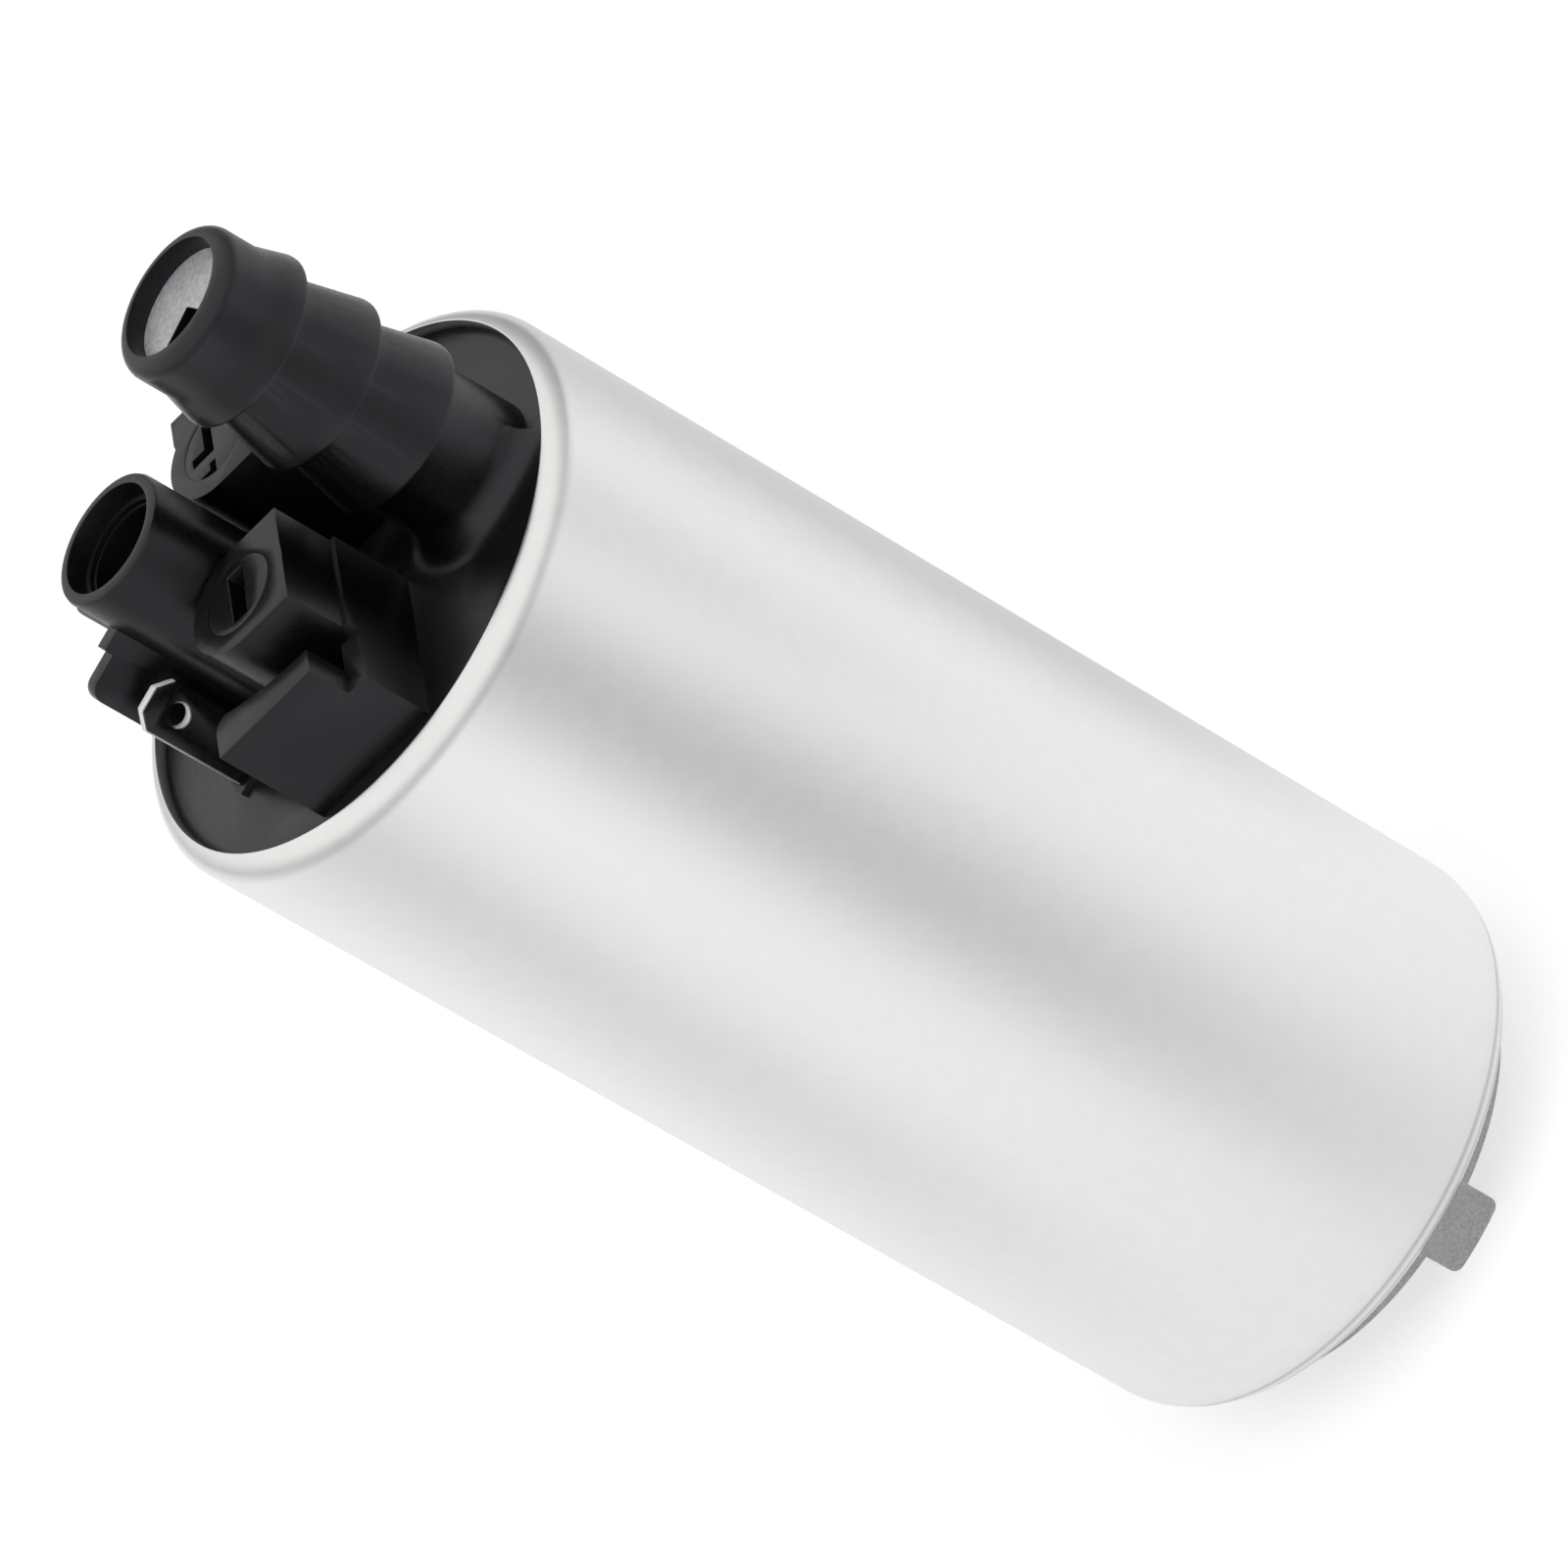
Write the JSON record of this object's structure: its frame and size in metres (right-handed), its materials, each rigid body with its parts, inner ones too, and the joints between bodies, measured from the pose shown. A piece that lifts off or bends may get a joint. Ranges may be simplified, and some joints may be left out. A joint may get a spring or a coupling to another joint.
{
  "type": "in-tank fuel pump",
  "caption": "Electric in-tank fuel pump: silver can with rolled rims, black end cover with barbed outlet, short tube and blade terminals, cast inlet end with lugs.",
  "frame": {"origin": "centre of the plane that the inlet lugs stand on, on the can's axis", "axes": "+Z along the can's axis towards the outlet nipple; +Y towards the nipple; the end cover is mirrored about X = 0"},
  "size_m": [0.043, 0.043, 0.1199],
  "materials": {
    "can": "satin",
    "black_plastic": "satin moulded",
    "casting": "grainy die casting",
    "tin_plate": "bright tin plate",
    "white_plastic": "smooth moulded",
    "steel": "ground",
    "lamination": "stacked sheet",
    "copper": "lacquered wire",
    "bronze": "sintered",
    "ferrite": "fired",
    "carbon": "pressed",
    "phenolic": "moulded resin",
    "rubber": "smooth"
  },
  "bodies": {
    "housing": {"can": "can", "end_cover": "black_plastic", "cover_seal": "rubber", "inlet_cover": "casting", "thrust_pin": "steel", "chamber_ring": "casting", "pump_plate": "casting", "lower_bush": "bronze", "upper_bush": "bronze", "flux_sleeve": "steel", "magnet_a": "ferrite", "magnet_b": "ferrite", "magnet_clip_a": "steel", "magnet_clip_b": "steel", "brush_cap_a": "black_plastic", "brush_cap_b": "black_plastic", "brush_spring_a": "steel", "brush_spring_b": "steel", "brush_lead_a": "copper", "brush_lead_b": "copper", "terminal_a": "tin_plate", "terminal_b": "tin_plate", "choke_core_a": "ferrite", "choke_core_b": "ferrite", "choke_coil_a": "copper", "choke_coil_b": "copper", "valve_retainer": "white_plastic", "check_spring": "steel", "relief_spring": "steel", "relief_retainer": "black_plastic"},
    "rotor": {"shaft": "steel", "impeller": "phenolic", "armature_core": "lamination", "lower_insulator": "white_plastic", "upper_insulator": "white_plastic", "winding": "copper", "commutator_hub": "phenolic", "commutator_segments": "copper"},
    "brush_left": {"brush_a": "carbon"},
    "brush_right": {"brush_b": "carbon"},
    "outlet_valve": {"check_valve": "black_plastic"},
    "relief_valve": {"relief_ball": "steel"}
  },
  "joints": [
    {"name": "rotor_spin", "type": "hinge", "parent": "housing", "child": "rotor", "pos_m": [0, 0, 0.05], "axis": [0, 0, 1], "continuous": true},
    {"name": "brush_a_slide", "type": "slide", "parent": "housing", "child": "brush_left", "axis": [0, 0, 1], "range_m": [0, 0.004], "stiffness_N_per_m": 60, "springref_m": -0.008, "deforming": ["brush_spring_a", "brush_lead_a"]},
    {"name": "brush_b_slide", "type": "slide", "parent": "housing", "child": "brush_right", "axis": [0, 0, 1], "range_m": [0, 0.004], "stiffness_N_per_m": 60, "springref_m": -0.008, "deforming": ["brush_spring_b", "brush_lead_b"]},
    {"name": "check_valve_lift", "type": "slide", "parent": "housing", "child": "outlet_valve", "axis": [0, 0, 1], "range_m": [0, 0.0025], "stiffness_N_per_m": 80, "springref_m": -0.003, "deforming": ["check_spring"]},
    {"name": "relief_ball_lift", "type": "slide", "parent": "housing", "child": "relief_valve", "axis": [0, 0, 1], "range_m": [0, 0.0012], "stiffness_N_per_m": 400, "springref_m": -0.002, "deforming": ["relief_spring"]}
  ]
}
